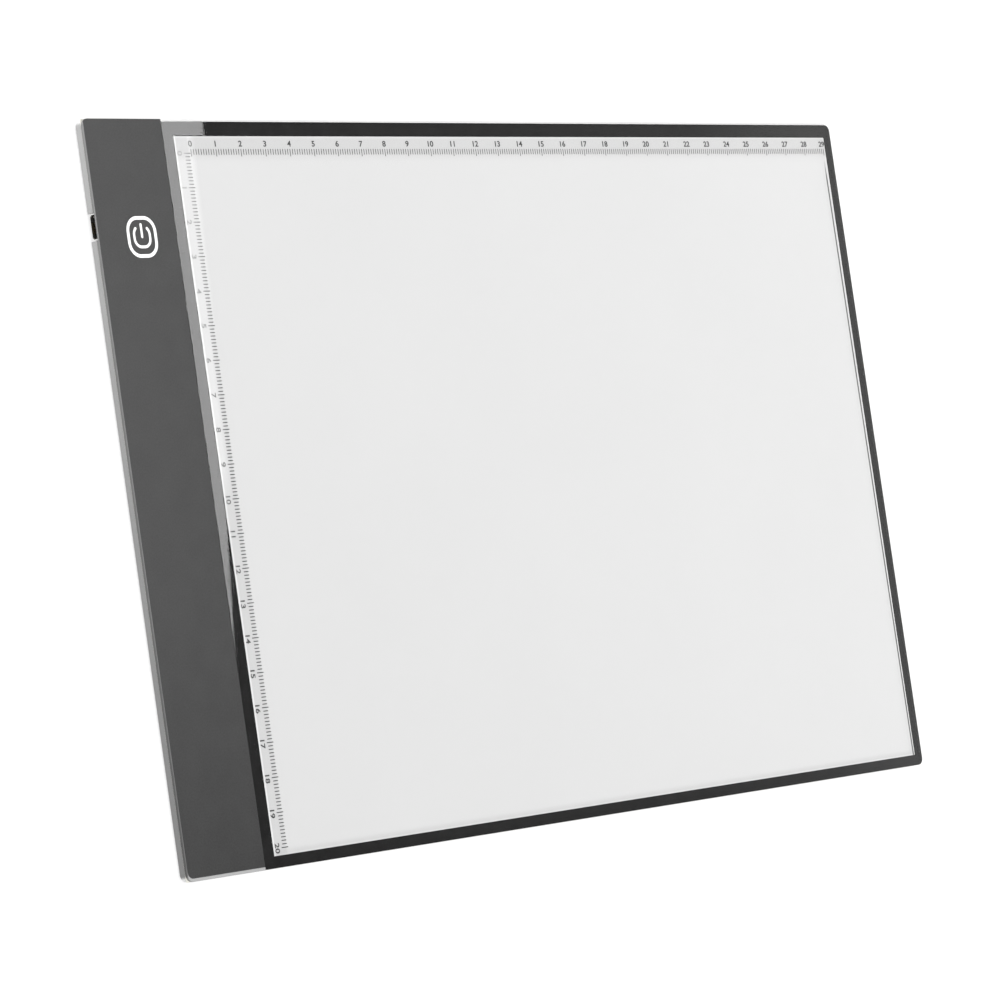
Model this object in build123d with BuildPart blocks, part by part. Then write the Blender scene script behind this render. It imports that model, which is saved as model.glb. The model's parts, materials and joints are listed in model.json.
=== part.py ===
from build123d import *
import os

# LED tracing light box for A4 sheets, lying face up.
# Millimetres. +Z up, +X away from the control strip, +Y towards the top ruler.
# The origin is at the centre of the footprint, on the surface that the box lies on.

# ---- body ----
body_length = 334.9
body_width = 215.5
corner_radius = 2.4
wall_thickness = 1.4
floor_thickness = 0.9
under_edge_radius = 0.5

# ---- printed front ----
strip_width = 30.2
window_length = 297.2
window_width = 207.1
border_left = 4.8
border_right = 2.7
border_top = 4.1
border_bottom = 3.4
rim_top = 0.8
panel_gap = 0.06
panel_corner_radius = 2.2

# ---- film on the control strip ----
film_thickness = 0.15
film_margin_left = 0.3
film_margin_top = 0.15
film_margin_bottom = 0.9
film_radius_top = 1.3
film_radius_bottom = 2.0
cover_edge_radius = 0.14

# ---- heights, counted from the resting surface ----
foot_height = 0.3
reflector_thickness = 0.15
guide_thickness = 1.2
diffuser_thickness = 0.2
print_thickness = 0.05
panel_thickness = 0.75
tape_thickness = 0.1
tape_setback = 0.05

z_under = foot_height
z_floor = z_under + floor_thickness
z_guide = z_floor + reflector_thickness
z_diffuser = z_guide + guide_thickness
z_print = z_diffuser + diffuser_thickness
z_panel = z_print + print_thickness
z_top = z_panel + panel_thickness
z_wall_top = z_print - tape_thickness
z_cover = z_print
z_film = z_top - film_thickness

# ---- places along X and Y ----
x_left = -body_length / 2
x_right = body_length / 2
y_bottom = -body_width / 2
y_top = body_width / 2
x_seam = x_left + strip_width
x_window_left = x_seam + border_left
x_window_right = x_window_left + window_length
y_window_top = y_top - rim_top - border_top
y_window_bottom = y_window_top - window_width
y_panel_top = y_top - rim_top
y_panel_bottom = y_window_bottom - border_bottom
x_panel_left = x_seam + panel_gap / 2
x_cover_right = x_seam - panel_gap / 2
x_room_left = x_left + wall_thickness
x_room_right = x_right - wall_thickness
y_room = body_width / 2 - wall_thickness

# ---- LED bar, standing on edge beside the light guide ----
rib_width = 1.4
rib_setback = 4.3
rib_end = 96.0
led_board_thickness = 0.6
led_board_length = 209.0
led_count = 41
led_pitch = 5.0
led_size_y = 3.0
led_size_z = 1.1
led_depth = 0.8
led_window_depth = 0.1
led_window_margin = 0.15
led_air_gap = 0.1
x_rib = x_seam - rib_setback
x_led_tape = x_rib + rib_width
x_led_board = x_led_tape + tape_thickness
x_leds = x_led_board + led_board_thickness
x_led_face = x_leds + led_depth
z_led = z_guide + guide_thickness / 2

# ---- light guide and its films ----
guide_clearance = 0.3
x_guide_left = x_led_face + led_air_gap
x_guide_right = x_room_right - guide_clearance
guide_width = 2 * (y_room - guide_clearance)
edge_tape_thickness = 0.1

# ---- micro-USB socket in the control side ----
y_socket = 77.0
socket_recess = 0.25
socket_width = 7.5
socket_height = 2.4
socket_depth = 5.0
socket_wall = 0.28
socket_chamfer = 0.7
socket_skin = 0.15
socket_clearance = 0.2
tab_start = 2.2
tab_length = 2.0
tab_reach = 1.0
tongue_width = 3.7
tongue_thickness = 0.6
tongue_length = 3.4
tongue_drop = 0.75
contact_count = 5
contact_pitch = 0.65
contact_width = 0.35
contact_thickness = 0.12
contact_tail = 0.9
contact_inset = 0.4
z_socket_top = z_film - socket_skin
z_socket = z_socket_top - socket_height / 2
x_socket = x_left + socket_recess
socket_block_depth = 1.0
x_socket_block = x_socket + socket_depth - socket_block_depth
x_notch = x_socket + socket_depth + socket_clearance
y_notch_low = y_socket - socket_width / 2 - socket_clearance
y_notch_high = y_socket + socket_width / 2 + socket_clearance

# ---- control board and what is on it ----
board_length = 21.0
board_width = 34.0
board_thickness = 0.6
board_clearance = 0.4
x_board = x_room_left + board_clearance
y_board = 76.0
z_board = z_floor + tape_thickness
z_board_top = z_board + board_thickness
board_pocket = 0.35
pocket_margin = 1.0

# ---- power mark and the touch key under it ----
x_key = -150.65
y_key = 73.75
mark_height = 0.02
ring_length = 11.4
ring_width = 11.9
ring_stroke = 1.0
ring_radius = 4.4
sign_stroke = 0.8
sign_half_width = 3.0
sign_radius = 2.4
sign_straight = 1.1
sign_bottom = -2.85
sign_end_angle = 48
bar_length = 4.3
bar_middle = 1.8
key_pad_radius = 5.0
key_pad_thickness = 0.05
key_foam_radius = 4.5

# ---- feet ----
foot_radius = 4.5
foot_recess = 0.2
foot_inset = 16.0
foot_edge_radius = 0.15

os.makedirs("parts", exist_ok=True)


def strip_outline(left, right, bottom, top, radius_top, radius_bottom):
    """Rectangle in the current sketch whose two left-hand corners are rounded."""
    with BuildLine() as outline:
        Polyline((left, bottom + radius_bottom), (left, top - radius_top))
        RadiusArc((left, top - radius_top), (left + radius_top, top), radius_top)
        Polyline((left + radius_top, top), (right, top), (right, bottom), (left + radius_bottom, bottom))
        RadiusArc((left + radius_bottom, bottom), (left, bottom + radius_bottom), radius_bottom)
    make_face(outline.edges())


def film_outline():
    """Outline of the strip film and of its seat in the control cover, in the current sketch."""
    strip_outline(
        x_left + film_margin_left,
        x_cover_right,
        y_bottom + film_margin_bottom,
        y_top - film_margin_top,
        film_radius_top,
        film_radius_bottom,
    )


def panel_outline():
    """Outline of the front panel in the current sketch: square at the seam, rounded at the far side."""
    radius = panel_corner_radius
    with BuildLine() as outline:
        Polyline(
            (x_right - radius, y_panel_bottom),
            (x_panel_left, y_panel_bottom),
            (x_panel_left, y_panel_top),
            (x_right - radius, y_panel_top),
        )
        RadiusArc((x_right - radius, y_panel_top), (x_right, y_panel_top - radius), radius)
        Line((x_right, y_panel_top - radius), (x_right, y_panel_bottom + radius))
        RadiusArc((x_right, y_panel_bottom + radius), (x_right - radius, y_panel_bottom), radius)
    make_face(outline.edges())


def block(x_low, x_high, y_low, y_high, mode=Mode.ADD):
    """Rectangle in the current sketch, given by its sides."""
    with Locations(((x_low + x_high) / 2, (y_low + y_high) / 2)):
        Rectangle(x_high - x_low, y_high - y_low, mode=mode)


def finish(builder, name):
    """Labels a finished piece and writes it."""
    builder.part.label = name
    export_step(builder.part, f"parts/{name}.step")


# ======== casing ========

foot_places = [
    (side_x * (body_length / 2 - foot_inset), side_y * (body_width / 2 - foot_inset))
    for side_x in (-1, 1)
    for side_y in (-1, 1)
]

# Tray with a floor, a wall all round, the rib that carries the LED bar and the notch for the socket.
with BuildPart() as back_cover:
    with BuildSketch(Plane.XY.offset(z_under)):
        RectangleRounded(body_length, body_width, corner_radius)
    extrude(amount=z_wall_top - z_under)
    fillet(back_cover.faces().sort_by(Axis.Z)[0].edges(), under_edge_radius)
    with BuildSketch(Plane.XY.offset(z_floor)):
        RectangleRounded(
            body_length - 2 * wall_thickness,
            body_width - 2 * wall_thickness,
            corner_radius - wall_thickness,
        )
    extrude(amount=z_wall_top - z_floor, mode=Mode.SUBTRACT)
    with BuildSketch(Plane.XY.offset(z_floor)):
        block(x_rib, x_rib + rib_width, -y_room, rib_end)
    extrude(amount=z_wall_top - z_floor)
    with BuildSketch(Plane.XY.offset(z_under)):
        block(x_left, x_notch, y_notch_low, y_notch_high)
    extrude(amount=z_wall_top - z_under, mode=Mode.SUBTRACT)
    with BuildSketch(Plane.XY.offset(z_under)):
        with Locations(*foot_places):
            Circle(foot_radius)
    extrude(amount=foot_recess, mode=Mode.SUBTRACT)
finish(back_cover, "back_cover")

# Four thin pads let into the underside.
with BuildPart() as anti_slip_feet:
    with BuildSketch():
        with Locations(*foot_places):
            Circle(foot_radius)
    extrude(amount=foot_height + foot_recess)
    fillet(anti_slip_feet.edges().group_by(Axis.Z)[0], foot_edge_radius)
finish(anti_slip_feet, "anti_slip_feet")

# Plate over the electronics, with a shallow seat for the film on top and pockets underneath.
with BuildPart() as control_cover:
    with BuildSketch(Plane.XY.offset(z_cover)):
        strip_outline(x_left, x_cover_right, y_bottom, y_top, corner_radius, corner_radius)
    extrude(amount=z_top - z_cover)
    outer_top_edges = control_cover.faces().sort_by(Axis.Z)[-1].edges().filter_by(
        lambda edge: edge.center().X < x_seam - panel_gap
    )
    fillet(outer_top_edges, cover_edge_radius)
    with BuildSketch(Plane.XY.offset(z_film)):
        film_outline()
    extrude(amount=film_thickness, mode=Mode.SUBTRACT)
    with BuildSketch(Plane.XY.offset(z_cover)):
        block(
            x_board,
            x_board + board_length + pocket_margin,
            y_board - board_width / 2 - pocket_margin,
            y_board + board_width / 2 + pocket_margin,
        )
    extrude(amount=board_pocket, mode=Mode.SUBTRACT)
    with BuildSketch(Plane.XY.offset(z_cover)):
        block(x_left, x_notch, y_notch_low, y_notch_high)
    extrude(amount=z_socket_top - z_cover, mode=Mode.SUBTRACT)
finish(control_cover, "control_cover")

# Double-sided tape along the control strip's walls and on top of the rib.
tape_width = wall_thickness - tape_setback
with BuildPart() as cover_tape:
    with BuildSketch(Plane.XY.offset(z_wall_top)):
        block(x_room_left - tape_width, x_room_left, y_notch_high, y_room + tape_width)
        block(x_room_left - tape_width, x_room_left, -y_room - tape_width, y_notch_low)
        block(x_room_left, x_cover_right, y_room, y_room + tape_width)
        block(x_room_left, x_cover_right, -y_room - tape_width, -y_room)
        block(x_rib, x_rib + rib_width, -y_room, rib_end)
    extrude(amount=tape_thickness)
finish(cover_tape, "cover_tape")

# Double-sided tape under the front panel's top, far and bottom edges.
with BuildPart() as panel_tape:
    with BuildSketch(Plane.XY.offset(z_wall_top)):
        block(x_panel_left, x_room_right, y_room, y_panel_top)
        block(x_room_right, x_room_right + tape_width, -y_room - tape_width, y_panel_top)
        block(x_panel_left, x_room_right, -y_room - tape_width, -y_room)
    extrude(amount=tape_thickness)
finish(panel_tape, "panel_tape")

# Matte film in its seat on the control cover.
with BuildPart() as strip_film:
    with BuildSketch(Plane.XY.offset(z_film)):
        film_outline()
    extrude(amount=film_thickness)
finish(strip_film, "strip_film")

# Printed power mark: a rounded ring, a rounded sign that is open at the top, and an upright bar.
with BuildPart() as power_mark:
    with BuildSketch(Plane.XY.offset(z_top)):
        with Locations((x_key, y_key)):
            RectangleRounded(ring_length, ring_width, ring_radius)
            RectangleRounded(
                ring_length - 2 * ring_stroke,
                ring_width - 2 * ring_stroke,
                ring_radius - ring_stroke,
                mode=Mode.SUBTRACT,
            )
    extrude(amount=mark_height)
    arc_x = sign_half_width - sign_radius
    low_arc_y = y_key + sign_bottom + sign_radius
    high_arc_y = low_arc_y + sign_straight
    with BuildSketch(Plane.XY.offset(z_top)):
        with BuildLine():
            CenterArc((x_key - arc_x, high_arc_y), sign_radius, 180 - sign_end_angle, sign_end_angle)
            Line((x_key - sign_half_width, high_arc_y), (x_key - sign_half_width, low_arc_y))
            CenterArc((x_key - arc_x, low_arc_y), sign_radius, 180, 90)
            Line((x_key - arc_x, y_key + sign_bottom), (x_key + arc_x, y_key + sign_bottom))
            CenterArc((x_key + arc_x, low_arc_y), sign_radius, 270, 90)
            Line((x_key + sign_half_width, low_arc_y), (x_key + sign_half_width, high_arc_y))
            CenterArc((x_key + arc_x, high_arc_y), sign_radius, 0, sign_end_angle)
            offset(amount=sign_stroke / 2, side=Side.BOTH)
        make_face()
        with Locations((x_key, y_key + bar_middle)):
            SlotOverall(bar_length, sign_stroke, rotation=90)
    extrude(amount=mark_height)
finish(power_mark, "power_mark")

# ======== optical stack ========

# Clear sheet that is drawn on.
with BuildPart() as front_panel:
    with BuildSketch(Plane.XY.offset(z_panel)):
        panel_outline()
    extrude(amount=panel_thickness)
finish(front_panel, "front_panel")

# Opaque frame printed under the panel.
with BuildPart() as border_print:
    with BuildSketch(Plane.XY.offset(z_print)):
        panel_outline()
        block(x_window_left, x_window_right, y_window_bottom, y_window_top, mode=Mode.SUBTRACT)
    extrude(amount=print_thickness)
finish(border_print, "border_print")

# Sheets of the guide's size, from the tray's floor up.
guide_stack = {
    "reflector_sheet": (z_floor, reflector_thickness),
    "light_guide": (z_guide, guide_thickness),
    "diffuser_sheet": (z_diffuser, diffuser_thickness),
}
for sheet_name, (sheet_level, sheet_thickness) in guide_stack.items():
    with BuildPart() as sheet:
        with BuildSketch(Plane.XY.offset(sheet_level)):
            block(x_guide_left, x_guide_right, -guide_width / 2, guide_width / 2)
        extrude(amount=sheet_thickness)
    finish(sheet, sheet_name)

# Reflective tapes on the three edges that have no LEDs.
half_guide = guide_width / 2
edge_reflectors = {
    "edge_reflector_top": (x_guide_left, x_guide_right, half_guide, half_guide + edge_tape_thickness),
    "edge_reflector_bottom": (x_guide_left, x_guide_right, -half_guide - edge_tape_thickness, -half_guide),
    "edge_reflector_right": (x_guide_right, x_guide_right + edge_tape_thickness, -half_guide, half_guide),
}
for tape_name, sides in edge_reflectors.items():
    with BuildPart() as edge_reflector:
        with BuildSketch(Plane.XY.offset(z_guide)):
            block(*sides)
        extrude(amount=guide_thickness)
    finish(edge_reflector, tape_name)

# ======== LED bar ========

# Tape between the rib and the LED board.
with BuildPart() as led_tape:
    with BuildSketch(Plane.XY.offset(z_floor)):
        block(x_led_tape, x_led_board, -led_board_length / 2, rib_end)
    extrude(amount=z_wall_top - z_floor)
finish(led_tape, "led_tape")

# Narrow board standing on its long edge.
with BuildPart() as led_board:
    with BuildSketch(Plane.XY.offset(z_floor)):
        block(x_led_board, x_leds, -led_board_length / 2, led_board_length / 2)
    extrude(amount=z_wall_top - z_floor)
finish(led_board, "led_board")

# Side-lit LED packages, each with a shallow window that holds its phosphor.
led_face_plane = Plane(origin=(x_led_face, 0, z_led), x_dir=(0, 1, 0), z_dir=(1, 0, 0))
led_window_y = led_size_y - 2 * led_window_margin
led_window_z = led_size_z - 2 * led_window_margin
with BuildPart() as led_packages:
    with BuildSketch(led_face_plane):
        with GridLocations(led_pitch, 1, led_count, 1):
            Rectangle(led_size_y, led_size_z)
    extrude(amount=-led_depth)
    with BuildSketch(led_face_plane):
        with GridLocations(led_pitch, 1, led_count, 1):
            RectangleRounded(led_window_y, led_window_z, led_window_margin)
    extrude(amount=-led_window_depth, mode=Mode.SUBTRACT)
finish(led_packages, "led_packages")

with BuildPart() as led_phosphors:
    with BuildSketch(led_face_plane):
        with GridLocations(led_pitch, 1, led_count, 1):
            RectangleRounded(led_window_y, led_window_z, led_window_margin)
    extrude(amount=-led_window_depth)
finish(led_phosphors, "led_phosphors")

# ======== control board ========

# Circuit board, cut away round the sunk socket.
with BuildPart() as control_board:
    with BuildSketch(Plane.XY.offset(z_board)):
        block(x_board, x_board + board_length, y_board - board_width / 2, y_board + board_width / 2)
        block(x_board, x_socket + socket_depth, y_notch_low, y_notch_high, mode=Mode.SUBTRACT)
    extrude(amount=board_thickness)
finish(control_board, "control_board")

# Pad that holds the board to the floor, clear of the socket's notch.
board_tape_left = x_socket + socket_depth + 2 * socket_clearance
with BuildPart() as board_tape:
    with BuildSketch(Plane.XY.offset(z_floor)):
        block(
            board_tape_left,
            x_board + board_length - pocket_margin,
            y_board - board_width / 2 + pocket_margin,
            y_board + board_width / 2 - pocket_margin,
        )
    extrude(amount=tape_thickness)
finish(board_tape, "board_tape")


def socket_outline(width, height, chamfer_size):
    """Socket section in the current sketch: square above, its two lower corners cut off."""
    half_width = width / 2
    half_height = height / 2
    with BuildLine() as outline:
        Polyline(
            (-half_width, half_height),
            (half_width, half_height),
            (half_width, -half_height + chamfer_size),
            (half_width - chamfer_size, -half_height),
            (-half_width + chamfer_size, -half_height),
            (-half_width, -half_height + chamfer_size),
            close=True,
        )
    make_face(outline.edges())


# Pressed-steel shell of the socket, open at the mouth and at the back, with a soldered tab on each side.
socket_plane = Plane(origin=(x_socket, y_socket, z_socket), x_dir=(0, -1, 0), z_dir=(-1, 0, 0))
bore_width = socket_width - 2 * socket_wall
bore_height = socket_height - 2 * socket_wall
x_tab = x_socket + tab_start
y_tab_inner = socket_width / 2 - socket_wall / 2
y_tab_outer = socket_width / 2 + tab_reach
with BuildPart() as usb_shell:
    with BuildSketch(socket_plane):
        socket_outline(socket_width, socket_height, socket_chamfer)
    extrude(amount=-socket_depth)
    with BuildSketch(socket_plane):
        socket_outline(bore_width, bore_height, socket_chamfer - socket_wall / 2)
    extrude(amount=-socket_depth, mode=Mode.SUBTRACT)
    with BuildSketch(Plane.XY.offset(z_board_top)):
        block(x_tab, x_tab + tab_length, y_socket + y_tab_inner, y_socket + y_tab_outer)
        block(x_tab, x_tab + tab_length, y_socket - y_tab_outer, y_socket - y_tab_inner)
    extrude(amount=socket_wall)
finish(usb_shell, "usb_shell")

# Plastic block that closes the back of the socket, with the tongue that carries the contacts.
z_tongue = z_socket + bore_height / 2 - tongue_drop
y_tongue = y_socket - tongue_width / 2
with BuildPart() as usb_tongue:
    with BuildSketch(socket_plane.offset(socket_block_depth - socket_depth)):
        socket_outline(bore_width, bore_height, socket_chamfer - socket_wall / 2)
    extrude(amount=-socket_block_depth)
    with BuildSketch(Plane.XY.offset(z_tongue)):
        block(x_socket_block - tongue_length, x_socket_block, y_tongue, y_tongue + tongue_width)
    extrude(amount=tongue_thickness)
finish(usb_tongue, "usb_tongue")

# Five contacts on the underside of the tongue, and their tails behind the socket on the board.
contact_length = tongue_length - contact_inset
with BuildPart() as usb_contacts:
    with BuildSketch(Plane.XY.offset(z_tongue - contact_thickness)):
        with Locations((x_socket_block - contact_length / 2, y_socket)):
            with GridLocations(1, contact_pitch, 1, contact_count):
                Rectangle(contact_length, contact_width)
    extrude(amount=contact_thickness)
    with BuildSketch(Plane.XY.offset(z_board_top)):
        with Locations((x_socket + socket_depth + contact_tail / 2, y_socket)):
            with GridLocations(1, contact_pitch, 1, contact_count):
                Rectangle(contact_tail, contact_width)
    extrude(amount=contact_thickness)
finish(usb_contacts, "usb_contacts")

# Copper electrode of the touch key on the board, and the foam that couples it to the cover.
with BuildPart() as touch_pad:
    with BuildSketch(Plane.XY.offset(z_board_top)):
        with Locations((x_key, y_key)):
            Circle(key_pad_radius)
    extrude(amount=key_pad_thickness)
finish(touch_pad, "touch_pad")

with BuildPart() as touch_foam:
    with BuildSketch(Plane.XY.offset(z_board_top + key_pad_thickness)):
        with Locations((x_key, y_key)):
            Circle(key_foam_radius)
    extrude(amount=z_cover + board_pocket - z_board_top - key_pad_thickness)
finish(touch_foam, "touch_foam")

# Small packages on the board. A size is along X, along Y and the height.
chip_size = (1.6, 2.9, 1.0)
transistor_size = (1.3, 2.9, 1.0)
leg_size = (0.7, 0.4, 0.3)
package_chamfer = 0.15


def beside_key(*offsets):
    """Places on the board, given by their offsets from the centre of the touch key."""
    return [(x_key + offset_x, y_key + offset_y) for offset_x, offset_y in offsets]


chip_centre, transistor_centre = beside_key((-1.8, 10.5), (3.7, 12.0))


def leg_places(centre, size, pitch, left_count, right_count):
    """Centres of a package's legs, down its two long sides."""
    reach = size[0] / 2 + leg_size[0] / 2
    places = []
    for side, count in ((-1, left_count), (1, right_count)):
        for index in range(count):
            offset_y = (index - (count - 1) / 2) * pitch
            places.append((centre[0] + side * reach, centre[1] + offset_y))
    return places


packages = {
    "touch_chip": (chip_centre, chip_size),
    "dimmer_transistor": (transistor_centre, transistor_size),
}
for package_name, (centre, size) in packages.items():
    with BuildPart() as package:
        with BuildSketch(Plane.XY.offset(z_board_top)):
            with Locations(centre):
                Rectangle(size[0], size[1])
        extrude(amount=size[2])
        chamfer(package.faces().sort_by(Axis.Z)[-1].edges(), package_chamfer)
    finish(package, package_name)

package_legs = {
    "touch_chip_legs": leg_places(chip_centre, chip_size, 0.95, 3, 3),
    "transistor_legs": leg_places(transistor_centre, transistor_size, 1.9, 1, 2),
}
for legs_name, places in package_legs.items():
    with BuildPart() as legs:
        with BuildSketch(Plane.XY.offset(z_board_top)):
            with Locations(*places):
                Rectangle(leg_size[0], leg_size[1])
        extrude(amount=leg_size[2])
    finish(legs, legs_name)

# Chip capacitors and resistors with their metal ends.
capacitor_size = (1.3, 1.25, 0.9)
resistor_size = (1.0, 0.8, 0.45)
terminal_length = 0.35
capacitor_places = beside_key((-8.8, 12.5), (-8.8, 15.5), (-6.8, -7.5))
resistor_places = beside_key((-3.8, 15.0), (-0.3, 15.0), (3.2, -7.0), (-0.3, -9.5))
chip_parts = {
    "capacitors": (capacitor_places, capacitor_size),
    "resistors": (resistor_places, resistor_size),
}
for group_name, (places, size) in chip_parts.items():
    with BuildPart() as group:
        with BuildSketch(Plane.XY.offset(z_board_top)):
            with Locations(*places):
                Rectangle(size[0], size[1])
        extrude(amount=size[2])
    finish(group, group_name)

with BuildPart() as part_terminals:
    for places, size in chip_parts.values():
        reach = size[0] / 2 + terminal_length / 2
        ends = [(x + side * reach, y) for x, y in places for side in (-1, 1)]
        with BuildSketch(Plane.XY.offset(z_board_top)):
            with Locations(*ends):
                Rectangle(terminal_length, size[1])
        extrude(amount=size[2])
finish(part_terminals, "part_terminals")

# ======== leads from the control board to the LED bar ========

lead_radius = 0.35
lead_bend = 2.2
lead_dip_bend = 1.2
solder_radius = 0.5
solder_height = 0.5
solder_slope = 15
z_lead_high = z_board_top + lead_radius
z_lead_low = z_floor + solder_radius
y_board_end = y_board + board_width / 2
lead_on_board = 2.5
lead_overhang = 0.6
lead_descent = 2.8
lead_places = {"led_lead_positive": (x_key + 4.25, 103.2), "led_lead_negative": (x_key + 2.25, 99.6)}
lead_routes = {}
for lead_name, (x_start, y_end) in lead_places.items():
    lead_routes[lead_name] = [
        (x_start, y_board_end - lead_on_board, z_lead_high),
        (x_start, y_board_end + lead_overhang, z_lead_high),
        (x_start, y_board_end + lead_overhang + lead_descent, z_lead_low),
        (x_start, y_end, z_lead_low),
        (x_led_board - solder_height, y_end, z_lead_low),
    ]

for lead_name, route in lead_routes.items():
    with BuildPart() as lead:
        with BuildLine():
            FilletPolyline(*route, radius=[lead_dip_bend, lead_dip_bend, lead_bend])
        with BuildSketch(Plane(origin=route[0], z_dir=(0, 1, 0))):
            Circle(lead_radius)
        sweep()
    finish(lead, lead_name)

# Solder where each lead meets its two boards: a mound on the control board, a collar on the LED board.
with BuildPart() as solder_joints:
    for route in lead_routes.values():
        x_start, y_start, _ = route[0]
        x_end, y_end, z_end = route[-1]
        with BuildSketch(Plane.XY.offset(z_board_top)):
            with Locations((x_start, y_start - solder_radius)):
                Circle(solder_radius)
        extrude(amount=solder_height, taper=solder_slope)
        with BuildSketch(Plane(origin=(x_led_board, y_end, z_end), z_dir=(-1, 0, 0))):
            Circle(solder_radius)
        extrude(amount=solder_height, taper=solder_slope)
finish(solder_joints, "solder_joints")
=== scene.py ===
import json
import math

import bmesh
import bpy
from mathutils import Matrix, Vector


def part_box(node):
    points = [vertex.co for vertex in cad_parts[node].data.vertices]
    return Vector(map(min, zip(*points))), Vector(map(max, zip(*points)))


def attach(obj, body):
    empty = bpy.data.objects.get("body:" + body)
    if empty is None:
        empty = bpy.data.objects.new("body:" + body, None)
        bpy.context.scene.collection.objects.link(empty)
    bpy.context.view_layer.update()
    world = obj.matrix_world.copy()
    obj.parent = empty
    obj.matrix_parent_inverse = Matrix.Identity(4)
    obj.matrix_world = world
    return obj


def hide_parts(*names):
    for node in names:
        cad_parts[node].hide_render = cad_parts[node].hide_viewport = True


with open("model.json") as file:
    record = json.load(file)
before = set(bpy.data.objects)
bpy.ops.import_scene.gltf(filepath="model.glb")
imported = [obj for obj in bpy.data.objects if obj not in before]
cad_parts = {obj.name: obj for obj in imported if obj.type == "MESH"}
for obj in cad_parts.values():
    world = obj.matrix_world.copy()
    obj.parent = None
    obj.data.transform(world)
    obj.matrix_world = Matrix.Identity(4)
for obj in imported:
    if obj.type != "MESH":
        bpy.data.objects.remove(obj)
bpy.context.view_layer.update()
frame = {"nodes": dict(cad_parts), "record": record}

# Everything is in metres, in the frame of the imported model: +X away from the control strip,
# +Y towards the top ruler, +Z out of the drawing surface.
MM = 0.001
WHITE = (1, 1, 1, 1)

# ---- the view: angles in degrees, the lens and the sensor in millimetres ----
VIEW_AZIMUTH = 4.298
VIEW_ELEVATION = 42.518
VIEW_ROLL = 78.903
VIEW_DISTANCE = 1.39531
VIEW_TARGET = (-17.73 * MM, -8.91 * MM)
VIEW_LENS = 165.994
SENSOR_WIDTH = 36.0

# ---- the light; a radiance of 1 is a white that just fills the picture's scale ----
# Sky brightness by the height of its direction, from the horizon at 0 to straight up at 1. Behind the
# camera it is SKY_BEHIND times as bright, and it goes over to that between two values of the direction's X.
SKY_BY_HEIGHT = ((0.60, 1.1), (0.614, 1.0), (0.632, 0.5), (0.66, 0.33), (0.70, 0.24), (0.73, 0.12))
SKY_BEHIND = 0.5
SKY_BEHIND_ENDS = (-0.8, 0.2)
# The glare card is what the border mirrors in the corner beside the control strip.
OVERHEAD = dict(place=(-0.4, 0.0, 2.2), target=(0, 0, 0), size=(2.0, 2.0), radiance=4.7)
GLARE_CARD = dict(
    place=(0.6222, 0.21, 0.947),
    target=(0.6222, 0.21, 0.0),
    size=(0.34, 0.58),
    radiance=5.9,
    turn=math.radians(-6.3),
)
LOW_SIDE_CARD = dict(place=(-0.42, 0.3, 0.04), target=(-0.167, 0.08, 0.002), size=(0.25, 0.06), radiance=20.0)

# ---- the floor ----
FLOOR_HALF_SIZE = 6.0
FLOOR_TONE = 0.35
FLOOR_GLOW = 0.62

# ---- the printed front, measured from the clear panel's sides ----
BORDER_LEFT = 4.77 * MM
BORDER_RIGHT = 2.7 * MM
BORDER_TOP = 4.1 * MM
BORDER_BOTTOM = 3.4 * MM
RULER_ZERO_RIGHT = 10.97 * MM
RULER_ZERO_DOWN = 9.1 * MM

# ---- the clear sheet: its shape, and its gloss on the border and over the window ----
# Its top face lies above the print, so the satin area on it is shifted towards the control strip.
PANEL_RADIUS = 2.2 * MM
PANEL_CHAMFER = 0.04 * MM
CORNER_STEPS = 12
ACRYLIC_IOR = 1.49
SATIN_SHIFT = 0.8 * MM
SATIN_BLEND = 0.1 * MM
SATIN_GLOSS = 0.15
SATIN_ROUGHNESS = 0.3

# ---- the mouldings of the control side ----
# The wall's painted shade ends between two distances in from its face, and changes between two values of Y
# along it. The rim's painted highlight ends between two distances from the bottom edge.
WALL_FACE = (0.1 * MM, 0.5 * MM)
WALL_ENDS = (-0.1, 0.1)
RIM_GAIN = 1.25
RIM_WIDTH = (1.0 * MM, 2.0 * MM)

# ---- the milky sheet ----
# Near an edge of the window its tone has the first number as a factor, which goes over to 1
# between the two distances from that edge.
DIFFUSER_TONE = 0.517
# Painted light: the sheet is brighter across the window, away from the control strip.
TONE_SLOPE = 0.035
TONE_SLOPE_LENGTH = 0.3
# Painted shade: the TONE factors darken the sheet next to the border.
TONE_LEFT = (0.9, 5.0 * MM, 5.6 * MM)
TONE_RIGHT = (0.965, 1.2 * MM, 4.5 * MM)
TONE_TOP = (0.89, 4.2 * MM, 7.5 * MM)
TONE_BOTTOM = (0.87, 0.5 * MM, 2.2 * MM)
# Painted highlight: the GLOW factors brighten a thin edge just inside the border.
GLOW_LEFT = (1.32, 0.4 * MM, 0.9 * MM)
GLOW_ELSEWHERE = (1.14, 0.3 * MM, 0.7 * MM)
GUIDE_DOT_PITCH = 1.1 * MM

# A thin dark line runs in the sheet's tone near the far border.
DARK_LINE_FROM_WINDOW = 1.35 * MM
DARK_LINE_SLANT = 0.003
DARK_LINE_DARKNESS = 0.2
DARK_LINE_HALF_WIDTH = (0.24 * MM, 0.38 * MM)
DARK_LINE_START = (6.0 * MM, 14.0 * MM)
DARK_LINE_START_SHIFT = 0.4 * MM

# Painted reflection of the glare: a brighter band lies beside the side ruler, next to the LED bar.
GLARE_BAND_GAIN = 0.2
GLARE_BAND_WIDTH = 8.5 * MM
GLARE_BAND_SIDE_FADE = 3 * MM
GLARE_BAND_TAPER = 0.04
GLARE_BAND_LENGTH = 94 * MM
GLARE_BAND_END_FADE = 14 * MM

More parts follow.
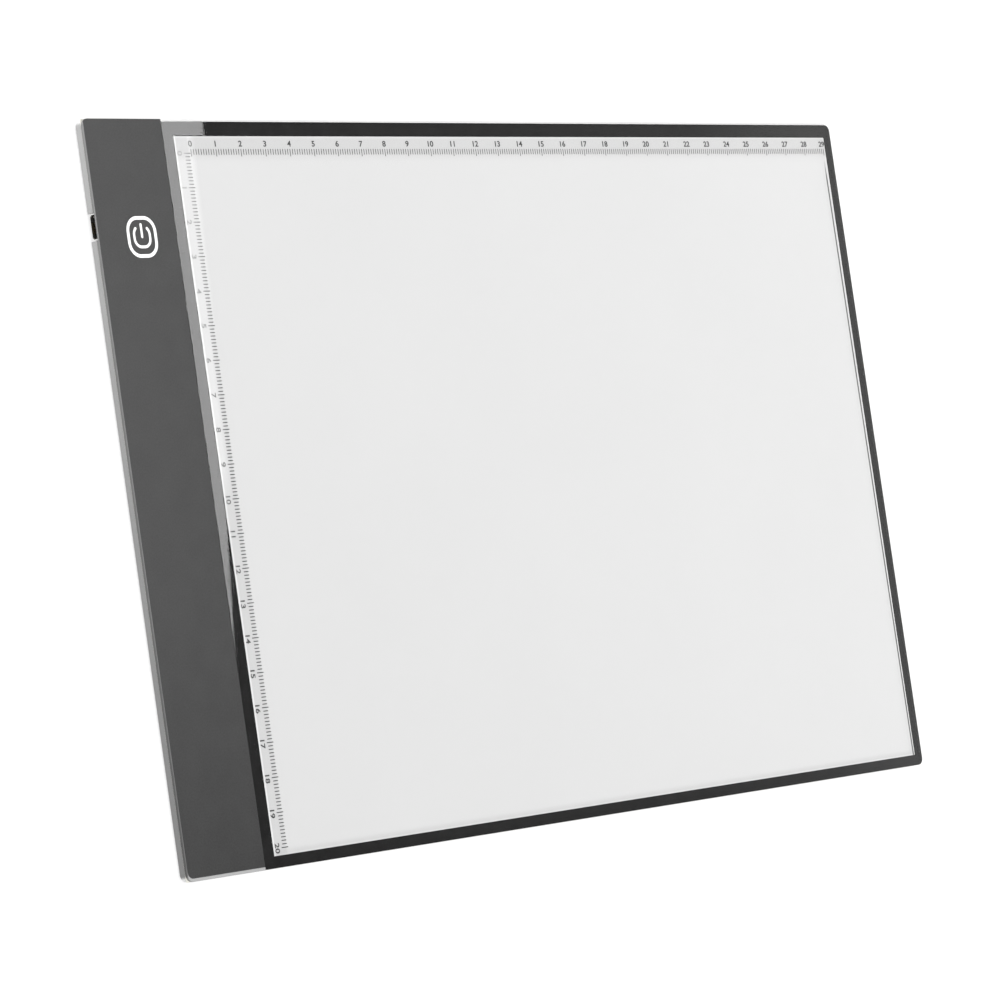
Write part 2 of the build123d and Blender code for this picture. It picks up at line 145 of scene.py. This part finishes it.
# ---- the rulers: their lengths are counted in millimetre ticks ----
# A tick's two ends and a number's rise are heights across the ruler, from its zero line.
TICKS_PER_NUMBER = 10
TOP_RULER_LENGTH = 290
SIDE_RULER_LENGTH = 200
INK_THICKNESS = 0.02 * MM
HAIR_GAP = 0.003 * MM
TICK_WIDTH_TOP = 0.22 * MM
TICK_WIDTH_SIDE = 0.27 * MM
TOP_TICK = (-0.44 * MM, 1.24 * MM)
TOP_LONG_TICK = (-0.96 * MM, 1.24 * MM)
SIDE_TICK = (-2.5 * MM, -0.66 * MM)
SIDE_LONG_TICK = (-2.9 * MM, -0.3 * MM)
TOP_NUMBER_RISE = 2.0 * MM
SIDE_NUMBER_RISE = -5.4 * MM
INK_TONE = 0.045
# Painted reflection: towards the rulers' corner the ink is paler, as in the glare.
INK_TONE_CORNER = 0.35
INK_FADE = (3 * MM, 9 * MM)
INK_FADE_TAPER = 0.05
DIGIT_WEIGHT = 0.05 * MM
DIGIT_STRETCH = 1.25
DIGIT_HEIGHT = 1.75 * MM
FONT_SIZE_PER_DIGIT_HEIGHT = 1.37
LAST_NUMBER_PLACE = 289.4 * MM
WELD_DISTANCE = 0.0001 * MM

body_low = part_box("back_cover")[0]
panel_low, panel_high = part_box("front_panel")
window_left = panel_low.x + BORDER_LEFT
window_right = panel_high.x - BORDER_RIGHT
window_top = panel_high.y - BORDER_TOP
window_bottom = panel_low.y + BORDER_BOTTOM
ruler_x = panel_low.x + RULER_ZERO_RIGHT
ruler_y = panel_high.y - RULER_ZERO_DOWN
ink_level = panel_low.z - INK_THICKNESS - HAIR_GAP


# ======== node materials ========


class Shader:
    """One procedural material, with short ways to add its nodes. Sizes are in metres."""

    def __init__(self, name):
        self.material = bpy.data.materials.new(name)
        self.material.use_nodes = True
        self.tree = self.material.node_tree
        self.tree.nodes.clear()
        self.place = self.add("ShaderNodeTexCoord").outputs["Object"]

    def add(self, kind, **settings):
        node = self.tree.nodes.new(kind)
        for key, value in settings.items():
            setattr(node, key, value)
        return node

    def feed(self, socket, value):
        """Sets an input socket to a number or colour, or links another node's output to it."""
        if isinstance(value, bpy.types.NodeSocket):
            self.tree.links.new(value, socket)
        else:
            socket.default_value = value

    def noise(self, size, detail=3.0, stretch=(1, 1, 1)):
        """Soft noise between 0 and 1 whose lumps are about this size."""
        mapping = self.add("ShaderNodeMapping")
        self.feed(mapping.inputs["Vector"], self.place)
        mapping.inputs["Scale"].default_value = stretch
        node = self.add("ShaderNodeTexNoise")
        self.feed(node.inputs["Vector"], mapping.outputs["Vector"])
        node.inputs["Scale"].default_value = 1 / size
        node.inputs["Detail"].default_value = detail
        return node.outputs["Fac"]

    def spots(self, spacing):
        """Distance to the nearest of a scatter of points, in units of their spacing."""
        node = self.add("ShaderNodeTexVoronoi")
        self.feed(node.inputs["Vector"], self.place)
        node.inputs["Scale"].default_value = 1 / spacing
        return node.outputs["Distance"]

    def remap(self, value, low, high, from_low=0.3, from_high=0.7):
        """The value spread from one range to another, and held inside it. Noise lies mostly in 0.3 to 0.7."""
        node = self.add("ShaderNodeMapRange")
        self.feed(node.inputs["Value"], value)
        ends = {"From Min": from_low, "From Max": from_high, "To Min": low, "To Max": high}
        for key, number in ends.items():
            self.feed(node.inputs[key], number)
        return node.outputs["Result"]

    def fade(self, distance, factor, start, end):
        """A factor near an edge, which goes over to 1 between two distances from the edge."""
        return self.remap(distance, factor, 1.0, start, end)

    def maths(self, operation, first, second=0.0):
        node = self.add("ShaderNodeMath", operation=operation)
        self.feed(node.inputs[0], first)
        self.feed(node.inputs[1], second)
        return node.outputs["Value"]

    def product(self, *values):
        result = values[0]
        for value in values[1:]:
            result = self.maths("MULTIPLY", result, value)
        return result

    def lowest(self, *values):
        result = values[0]
        for value in values[1:]:
            result = self.maths("MINIMUM", result, value)
        return result

    def grey(self, value):
        """A grey colour from one number."""
        node = self.add("ShaderNodeCombineColor")
        for key in ("Red", "Green", "Blue"):
            self.feed(node.inputs[key], value)
        return node.outputs["Color"]

    def tint(self, colour, factor):
        """The colour multiplied by a number."""
        node = self.add("ShaderNodeVectorMath", operation="SCALE")
        node.inputs[0].default_value = colour
        self.feed(node.inputs["Scale"], factor)
        return node.outputs["Vector"]

    def bump(self, height, depth):
        node = self.add("ShaderNodeBump")
        self.feed(node.inputs["Height"], height)
        node.inputs["Distance"].default_value = depth
        node.inputs["Strength"].default_value = 1.0
        return node.outputs["Normal"]

    def axis(self, name):
        """One coordinate of the point that is shaded, in metres."""
        node = self.add("ShaderNodeSeparateXYZ")
        self.feed(node.inputs["Vector"], self.place)
        return node.outputs[name]

    def window_sides(self):
        """Distances inwards from the window's left, right, top and bottom edges; negative on the border."""
        x, y = self.axis("X"), self.axis("Y")
        return (
            self.maths("SUBTRACT", x, window_left),
            self.maths("SUBTRACT", window_right, x),
            self.maths("SUBTRACT", window_top, y),
            self.maths("SUBTRACT", y, window_bottom),
        )

    def principled(self, **values):
        """Adds the main shader. A value's name is its socket's, with _ for a space."""
        node = self.add("ShaderNodeBsdfPrincipled")
        for key, value in values.items():
            self.feed(node.inputs[key.replace("_", " ")], value)
        return node.outputs["BSDF"]

    def mix(self, factor, first, second):
        node = self.add("ShaderNodeMixShader")
        for key, value in enumerate((factor, first, second)):
            self.feed(node.inputs[key], value)
        return node.outputs["Shader"]

    def finish(self, surface):
        output = self.add("ShaderNodeOutputMaterial")
        self.feed(output.inputs["Surface"], surface)
        return self.material


def moulded(name, colour, roughness, grain, depth, variation=0.06):
    """A surface with fine grain, slow tonal variation and uneven gloss: plastics, rubber, ink, tape."""
    shader = Shader(name)
    fine = shader.noise(grain)
    slow = shader.noise(30 * MM, detail=2.0)
    fine_tone = shader.remap(fine, -variation, variation)
    slow_tone = shader.remap(slow, 1 - variation, 1 + variation)
    surface = shader.principled(
        Base_Color=shader.tint(colour, shader.maths("ADD", fine_tone, slow_tone)),
        Roughness=shader.remap(fine, roughness - 0.06, roughness + 0.06),
        Metallic=0.0,
        Normal=shader.bump(fine, depth),
    )
    return shader.finish(surface)


def brushed(name, colour, roughness):
    """Metal with fine lines along Y."""
    shader = Shader(name)
    lines = shader.noise(0.05 * MM, stretch=(1, 0.05, 1))
    surface = shader.principled(
        Base_Color=shader.tint(colour, shader.remap(lines, 0.9, 1.08)),
        Roughness=shader.remap(lines, roughness - 0.07, roughness + 0.1),
        Metallic=1.0,
        Normal=shader.bump(lines, 0.004 * MM),
    )
    return shader.finish(surface)


def clear_acrylic():
    """Clear sheet: its outer faces mirror by Fresnel, sharply on the border and softly over the window.
    Its sides are painted dark grey, a painted reflection of the black print that they mirror."""
    shader = Shader("clear_acrylic")
    haze = shader.noise(9 * MM, detail=2.0)
    left, right, top, bottom = shader.window_sides()
    left = shader.maths("ADD", left, SATIN_SHIFT)
    right = shader.maths("SUBTRACT", right, SATIN_SHIFT)
    satin = shader.remap(shader.lowest(left, right, top, bottom), 0.0, 1.0, -SATIN_BLEND, SATIN_BLEND)
    geometry = shader.add("ShaderNodeNewGeometry")
    fresnel = shader.add("ShaderNodeFresnel")
    fresnel.inputs["IOR"].default_value = ACRYLIC_IOR
    outer = shader.maths("SUBTRACT", 1.0, geometry.outputs["Backfacing"])
    amount = shader.product(fresnel.outputs["Fac"], outer, shader.remap(satin, 1.0, SATIN_GLOSS, 0.0, 1.0))
    sharp_roughness = shader.remap(haze, 0.012, 0.02)
    satin_roughness = shader.remap(satin, 0.0, SATIN_ROUGHNESS, 0.0, 1.0)
    gloss = shader.add("ShaderNodeBsdfGlossy")
    shader.feed(gloss.inputs["Color"], WHITE)
    shader.feed(gloss.inputs["Roughness"], shader.maths("ADD", sharp_roughness, satin_roughness))
    normal = shader.add("ShaderNodeSeparateXYZ")
    shader.feed(normal.inputs["Vector"], geometry.outputs["Normal"])
    upright = shader.remap(shader.maths("ABSOLUTE", normal.outputs["Z"]), 1.0, 0.0, 0.2, 0.8)
    sheet = shader.mix(amount, shader.add("ShaderNodeBsdfTransparent").outputs["BSDF"], gloss.outputs["BSDF"])
    # Painted reflection: the sides are opaque dark grey, standing in for their mirror image of the black
    # print.
    sides = shader.principled(
        Base_Color=shader.grey(shader.remap(haze, 0.025, 0.04)),
        Roughness=0.25,
        Specular_IOR_Level=0.15,
    )
    return shader.finish(shader.mix(upright, sheet, sides))


def diffuser_white():
    """Milky sheet: the light guide's dots show faintly through it. Painted shade and a painted highlight lie
    along the border, painted light rises across it, and a painted reflection lies beside the side ruler.
    """
    shader = Shader("diffuser_white")
    left, right, top, bottom = shader.window_sides()
    dots = shader.remap(shader.spots(GUIDE_DOT_PITCH), 0.995, 1.003, 0.25, 0.45)
    cloud = shader.remap(shader.noise(60 * MM, detail=2.0), 0.993, 1.007)
    # Painted light: brighter across the window, away from the control strip.
    across = shader.remap(left, 1 - TONE_SLOPE, 1 + TONE_SLOPE, 0.0, TONE_SLOPE_LENGTH)
    # Painted shade next to the border, then a painted highlight just inside it.
    edges = (
        shader.fade(left, *TONE_LEFT),
        shader.fade(right, *TONE_RIGHT),
        shader.fade(top, *TONE_TOP),
        shader.fade(bottom, *TONE_BOTTOM),
        # Painted highlight just inside the border.
        shader.fade(left, *GLOW_LEFT),
        shader.fade(shader.lowest(right, top, bottom), *GLOW_ELSEWHERE),
    )
    # A thin dark line in the sheet's tone near the far border.
    slanted = shader.maths("ADD", right, shader.product(top, DARK_LINE_SLANT))
    dark_line_gap = shader.maths("ABSOLUTE", shader.maths("SUBTRACT", slanted, DARK_LINE_FROM_WINDOW))
    dark_line_gap = shader.maths("ADD", dark_line_gap, shader.remap(top, DARK_LINE_START_SHIFT, 0.0, *DARK_LINE_START))
    dark_line = shader.fade(dark_line_gap, DARK_LINE_DARKNESS, *DARK_LINE_HALF_WIDTH)
    # Painted reflection of the glare: a brighter band beside the side ruler.
    tapered = shader.maths("ADD", left, shader.product(top, GLARE_BAND_TAPER))
    across_band = shader.remap(
        tapered, GLARE_BAND_GAIN, 0.0, GLARE_BAND_WIDTH - GLARE_BAND_SIDE_FADE, GLARE_BAND_WIDTH
    )
    along_band = shader.remap(top, 1.0, 0.0, GLARE_BAND_LENGTH, GLARE_BAND_LENGTH + GLARE_BAND_END_FADE)
    glare_band = shader.maths("ADD", 1.0, shader.product(across_band, along_band))
    all_edges = shader.product(*edges, dark_line, glare_band)
    surface = shader.principled(
        Base_Color=shader.grey(shader.product(DIFFUSER_TONE, dots, cloud, across, all_edges)),
        Roughness=shader.remap(shader.noise(0.3 * MM), 0.5, 0.65),
        Specular_IOR_Level=0.2,
    )
    return shader.finish(surface)


def printed_black():
    """Black ink seen through the clear sheet, a little uneven in its cover."""
    shader = Shader("printed_black")
    patch = shader.noise(4 * MM, detail=4.0)
    fine = shader.noise(0.7 * MM, detail=4.0)
    tone = shader.maths("ADD", shader.remap(patch, 0.0005, 0.004), shader.remap(fine, 0.0, 0.001))
    surface = shader.principled(
        Base_Color=shader.grey(tone),
        Roughness=0.6,
        Specular_IOR_Level=0.1,
    )
    return shader.finish(surface)


def ruler_print():
    """Dark ruler ink, with a painted reflection that makes it paler towards the corner where the two rulers
    meet.
    """
    shader = Shader("ruler_ink")
    left, _, top, _ = shader.window_sides()
    fine = shader.noise(0.3 * MM)
    # Painted reflection: the ink pales towards the rulers' corner.
    from_corner = shader.maths("ADD", left, shader.product(top, INK_FADE_TAPER))
    tone = shader.remap(from_corner, INK_TONE_CORNER, INK_TONE, *INK_FADE)
    surface = shader.principled(
        Base_Color=shader.grey(shader.product(tone, shader.remap(fine, 0.85, 1.15))),
        Roughness=shader.remap(fine, 0.55, 0.65),
        Specular_IOR_Level=0.2,
    )
    return shader.finish(surface)


def strip_matte():
    """Matte film with a fine mottled grain."""
    shader = Shader("strip_matte")
    fine = shader.noise(0.5 * MM)
    patch = shader.noise(7 * MM)
    tone = shader.maths("ADD", shader.remap(fine, -0.004, 0.004), shader.remap(patch, 0.026, 0.03))
    surface = shader.principled(
        Base_Color=shader.grey(tone),
        Roughness=shader.remap(fine, 0.28, 0.34),
        Specular_IOR_Level=0.2,
        Normal=shader.bump(fine, 0.006 * MM),
    )
    return shader.finish(surface)


def control_side_moulding(name, colour, wall_far_end, wall_near_end):
    """Satin moulding whose wall on the control side has painted shade, darker towards the bottom corner. The
    rim along the bottom edge has a painted highlight that makes it paler."""
    shader = Shader(name)
    fine = shader.noise(0.4 * MM)
    slow = shader.noise(30 * MM, detail=2.0)
    # Painted shade on the wall on the control side, darker towards the bottom corner.
    along = shader.remap(shader.axis("Y"), wall_near_end, wall_far_end, *WALL_ENDS)
    wall = shader.remap(shader.axis("X"), 1.0, 0.0, *(body_low.x + depth for depth in WALL_FACE))
    wall_tone = shader.maths("ADD", 1.0, shader.product(wall, shader.maths("SUBTRACT", along, 1.0)))
    # Painted highlight on the rim along the bottom edge.
    rim = shader.fade(shader.axis("Y"), RIM_GAIN, *(body_low.y + width for width in RIM_WIDTH))
    grain_tone, slow_tone = shader.remap(fine, 0.95, 1.05), shader.remap(slow, 0.97, 1.03)
    surface = shader.principled(
        Base_Color=shader.tint(colour, shader.product(grain_tone, slow_tone, wall_tone, rim)),
        Roughness=shader.remap(fine, 0.46, 0.56),
        Normal=shader.bump(fine, 0.008 * MM),
    )
    return shader.finish(surface)


def glowing_floor():
    """White sweep that is lit from below as well, so that the box casts almost no shadow on it."""
    shader = Shader("glowing_floor")
    cloud = shader.noise(40 * MM, detail=2.0)
    surface = shader.principled(
        Base_Color=shader.grey(shader.remap(cloud, 0.99 * FLOOR_TONE, 1.01 * FLOOR_TONE)),
        Roughness=0.9,
        Emission_Color=WHITE,
        Emission_Strength=FLOOR_GLOW,
    )
    return shader.finish(surface)


# Material slot: material name, colour, roughness, grain size in mm, grain depth in mm, tonal variation.
MOULDED_SLOTS = {
    "foot_rubber": ("black_rubber", (0.03, 0.03, 0.03), 0.75, 0.3, 0.02, 0.06),
    "adhesive_tape": ("tissue_tape", (0.6, 0.59, 0.54), 0.7, 0.6, 0.01, 0.1),
    "white_print": ("white_ink", (0.86, 0.86, 0.86), 0.5, 0.25, 0.003, 0.03),
    "light_guide": ("guide_acrylic", (0.8, 0.82, 0.82), 0.1, 1.0, 0.01, 0.06),
    "reflector": ("reflector_white", (0.85, 0.85, 0.85), 0.4, 0.5, 0.005, 0.06),
    "white_board": ("white_solder_mask", (0.75, 0.75, 0.72), 0.35, 0.5, 0.005, 0.06),
    "led_plastic": ("white_package", (0.8, 0.8, 0.78), 0.3, 0.2, 0.002, 0.06),
    "phosphor": ("yellow_phosphor", (0.75, 0.55, 0.06), 0.5, 0.1, 0.004, 0.12),
    "green_board": ("green_solder_mask", (0.01, 0.09, 0.03), 0.3, 0.7, 0.01, 0.15),
    "black_plastic": ("moulded_black", (0.015, 0.015, 0.015), 0.45, 0.15, 0.005, 0.06),
    "dark_foam": ("conductive_foam", (0.04, 0.04, 0.045), 0.9, 0.4, 0.1, 0.3),
    "capacitor_ceramic": ("tan_ceramic", (0.35, 0.2, 0.1), 0.5, 0.1, 0.004, 0.06),
    "red_insulation": ("red_insulation", (0.5, 0.02, 0.015), 0.4, 0.3, 0.004, 0.06),
    "black_insulation": ("black_insulation", (0.02, 0.02, 0.02), 0.4, 0.3, 0.004, 0.06),
}

materials = {
    "tray_plastic": control_side_moulding("satin_light_grey", (0.6, 0.6, 0.6), 0.5, 0.29),
    "cover_plastic": control_side_moulding("satin_mid_grey", (0.24, 0.24, 0.24), 0.66, 0.24),
    "strip_film": strip_matte(),
    "clear_panel": clear_acrylic(),
    "black_print": printed_black(),
    "diffuser": diffuser_white(),
    "steel_shell": brushed("nickel_steel", (0.75, 0.75, 0.74), 0.25),
    "gold_contact": brushed("gold_flash", (0.83, 0.6, 0.25), 0.25),
    "tinned_metal": brushed("tin_plate", (0.7, 0.7, 0.72), 0.3),
}
for slot, (name, colour, roughness, grain, depth, variation) in MOULDED_SLOTS.items():
    materials[slot] = moulded(name, colour, roughness, grain * MM, depth * MM, variation)

for entry in frame["record"]["subparts"]:
    node_mesh = frame["nodes"][entry["node"]].data
    node_mesh.materials.clear()
    node_mesh.materials.append(materials[entry["material_slot"]])


# ======== new pieces ========


def new_mesh(name, shape):
    """Turns a bmesh into a mesh and frees it."""
    mesh = bpy.data.meshes.new(name)
    shape.to_mesh(mesh)
    shape.free()
    return mesh


def new_object(name, data):
    thing = bpy.data.objects.new(name, data)
    bpy.context.collection.objects.link(thing)
    return thing


def make_clear_sheet():
    """The front panel with its chamfered, polished edges, a hair above the print under it."""
    low, high = panel_low.z + HAIR_GAP, panel_high.z
    levels = ((low, 0.0), (high - PANEL_CHAMFER, 0.0), (high, PANEL_CHAMFER))
    shape = bmesh.new()
    rings = []
    for level, inset in levels:
        left, bottom = panel_low.x + inset, panel_low.y + inset
        right, top = panel_high.x - inset, panel_high.y - inset
        radius = PANEL_RADIUS - inset
        corners = [(left, top), (left, bottom)]
        for centre_y, start in ((bottom + radius, -90), (top - radius, 0)):
            for step in range(CORNER_STEPS + 1):
                angle = math.radians(start + step * 90 / CORNER_STEPS)
                x = right - radius + radius * math.cos(angle)
                corners.append((x, centre_y + radius * math.sin(angle)))
        rings.append([shape.verts.new((x, y, level)) for x, y in corners])
    for lower, upper in zip(rings, rings[1:]):
        for index in range(len(lower)):
            after = (index + 1) % len(lower)
            shape.faces.new((lower[index], lower[after], upper[after], upper[index]))
    shape.faces.new(rings[0][::-1])
    shape.faces.new(rings[-1])
    mesh = new_mesh("clear_sheet", shape)
    mesh.materials.append(materials["clear_panel"])
    sheet = new_object("clear_sheet", mesh)
    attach(sheet, "root")
    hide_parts("front_panel")


def printed_piece(name, mesh, place):
    """Puts ruler marks in the scene, on the object's one body."""
    mesh.transform(place)
    mesh.materials.append(ruler_ink)
    piece = new_object(name, mesh)
    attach(piece, "root")


def tick_marks(name, length, width, tick_ends, long_tick_ends):
    """Millimetre ticks as thin slabs, with a long one at each number. Their ends are heights across the
    ruler."""
    shape = bmesh.new()
    for tick in range(length + 1):
        low, high = tick_ends if tick % TICKS_PER_NUMBER else long_tick_ends
        size = Vector((width, high - low, INK_THICKNESS))
        middle = Vector((tick * MM, (low + high) / 2, INK_THICKNESS / 2))
        bmesh.ops.create_cube(shape, matrix=Matrix.LocRotScale(middle, None, size))
    return new_mesh(name, shape)


def number_marks(name, length, rise):
    """Upright numbers from 0, one on each centimetre of a ruler, at a height across it. The last one of the
    top ruler is a little early, so that the border doesn't cover it."""
    shape = bmesh.new()
    for number in range(length // TICKS_PER_NUMBER + 1):
        text = bpy.data.curves.new(f"{name}_{number}", "FONT")
        text.body = str(number)
        text.size = DIGIT_HEIGHT * FONT_SIZE_PER_DIGIT_HEIGHT
        text.align_x = "CENTER"
        text.extrude = INK_THICKNESS / 2
        text.offset = DIGIT_WEIGHT
        holder = new_object(f"{name}_{number}", text)
        bpy.context.view_layer.update()
        depsgraph = bpy.context.evaluated_depsgraph_get()
        mesh = bpy.data.meshes.new_from_object(holder.evaluated_get(depsgraph))
        along = min(number * TICKS_PER_NUMBER * MM, LAST_NUMBER_PLACE)
        place = Matrix.Translation((along, rise, INK_THICKNESS / 2))
        mesh.transform(place @ Matrix.Diagonal((DIGIT_STRETCH, 1, 1, 1)))
        shape.from_mesh(mesh)
        bpy.data.objects.remove(holder)
        bpy.data.meshes.remove(mesh)
    bmesh.ops.remove_doubles(shape, verts=shape.verts, dist=WELD_DISTANCE)
    bmesh.ops.dissolve_degenerate(shape, dist=WELD_DISTANCE, edges=shape.edges)
    return new_mesh(name, shape)


make_clear_sheet()
ruler_ink = ruler_print()

# The top ruler's ticks hang below its numbers. The side ruler is turned a quarter clockwise, so that it runs
# down the window.
top_place = Matrix.Translation((ruler_x, ruler_y, ink_level))
side_place = top_place @ Matrix.Rotation(-math.pi / 2, 4, "Z")
top_ticks = tick_marks("ruler_ticks_top", TOP_RULER_LENGTH, TICK_WIDTH_TOP, TOP_TICK, TOP_LONG_TICK)
printed_piece("ruler_ticks_top", top_ticks, top_place)
top_numbers = number_marks("ruler_numbers_top", TOP_RULER_LENGTH, TOP_NUMBER_RISE)
printed_piece("ruler_numbers_top", top_numbers, top_place)
side_ticks = tick_marks("ruler_ticks_side", SIDE_RULER_LENGTH, TICK_WIDTH_SIDE, SIDE_TICK, SIDE_LONG_TICK)
printed_piece("ruler_ticks_side", side_ticks, side_place)
side_numbers = number_marks("ruler_numbers_side", SIDE_RULER_LENGTH, SIDE_NUMBER_RISE)
printed_piece("ruler_numbers_side", side_numbers, side_place)


# ======== floor, lights and camera ========


def make_floor():
    """A plain white floor under the box."""
    shape = bmesh.new()
    bmesh.ops.create_grid(shape, x_segments=1, y_segments=1, size=FLOOR_HALF_SIZE)
    mesh = new_mesh("floor", shape)
    mesh.materials.append(glowing_floor())
    new_object("floor", mesh)


def softbox(name, place, target, size, radiance, turn=0.0):
    """A rectangular light that faces its target and that the camera doesn't see."""
    data = bpy.data.lights.new(name, "AREA")
    data.shape = "RECTANGLE"
    data.size, data.size_y = size
    data.energy = radiance * math.pi * size[0] * size[1]
    light = new_object(name, data)
    aim = (Vector(target) - Vector(place)).to_track_quat("-Z", "Y").to_matrix().to_4x4()
    light.matrix_world = Matrix.Translation(place) @ aim @ Matrix.Rotation(turn, 4, "Z")
    light.visible_camera = False


def make_camera():
    """The photograph's view: from beyond the control strip, looking down across the window."""
    azimuth = math.radians(VIEW_AZIMUTH)
    elevation = math.radians(VIEW_ELEVATION)
    forward = Vector((
        math.cos(elevation) * math.cos(azimuth),
        math.cos(elevation) * math.sin(azimuth),
        -math.sin(elevation),
    ))
    target = Vector((*VIEW_TARGET, panel_low.z))
    level = forward.to_track_quat("-Z", "Y").to_matrix().to_4x4()
    roll = Matrix.Rotation(math.radians(VIEW_ROLL), 4, "Z")
    data = bpy.data.cameras.new("camera")
    data.sensor_width = SENSOR_WIDTH
    data.lens = VIEW_LENS
    camera = new_object("camera", data)
    camera.matrix_world = Matrix.Translation(target - forward * VIEW_DISTANCE) @ level @ roll
    bpy.context.scene.camera = camera


def make_world():
    """Soft surroundings: bright towards the horizon, darker overhead and behind the camera."""
    world = bpy.data.worlds.new("studio")
    world.use_nodes = True
    tree = world.node_tree
    direction = tree.nodes.new("ShaderNodeSeparateXYZ")
    tree.links.new(tree.nodes.new("ShaderNodeTexCoord").outputs["Generated"], direction.inputs["Vector"])
    height = tree.nodes.new("ShaderNodeValToRGB")
    tree.links.new(direction.outputs["Z"], height.inputs["Fac"])
    stops = height.color_ramp.elements
    while len(stops) < len(SKY_BY_HEIGHT):
        stops.new(0.5)
    for stop, (level, brightness) in zip(stops, SKY_BY_HEIGHT):
        stop.position = level
        stop.color = (brightness, brightness, brightness, 1)
    across = tree.nodes.new("ShaderNodeMapRange")
    tree.links.new(direction.outputs["X"], across.inputs["Value"])
    across.inputs["From Min"].default_value, across.inputs["From Max"].default_value = SKY_BEHIND_ENDS
    across.inputs["To Min"].default_value = SKY_BEHIND
    across.inputs["To Max"].default_value = 1.0
    strength = tree.nodes.new("ShaderNodeMath")
    strength.operation = "MULTIPLY"
    tree.links.new(height.outputs["Color"], strength.inputs[0])
    tree.links.new(across.outputs["Result"], strength.inputs[1])
    background = tree.nodes["Background"]
    background.inputs["Color"].default_value = WHITE
    tree.links.new(strength.outputs["Value"], background.inputs["Strength"])
    bpy.context.scene.world = world


make_floor()
make_world()
softbox("overhead", **OVERHEAD)
softbox("glare_card", **GLARE_CARD)
softbox("low_side_card", **LOW_SIDE_CARD)
make_camera()
bpy.context.scene.view_settings.view_transform = "Standard"
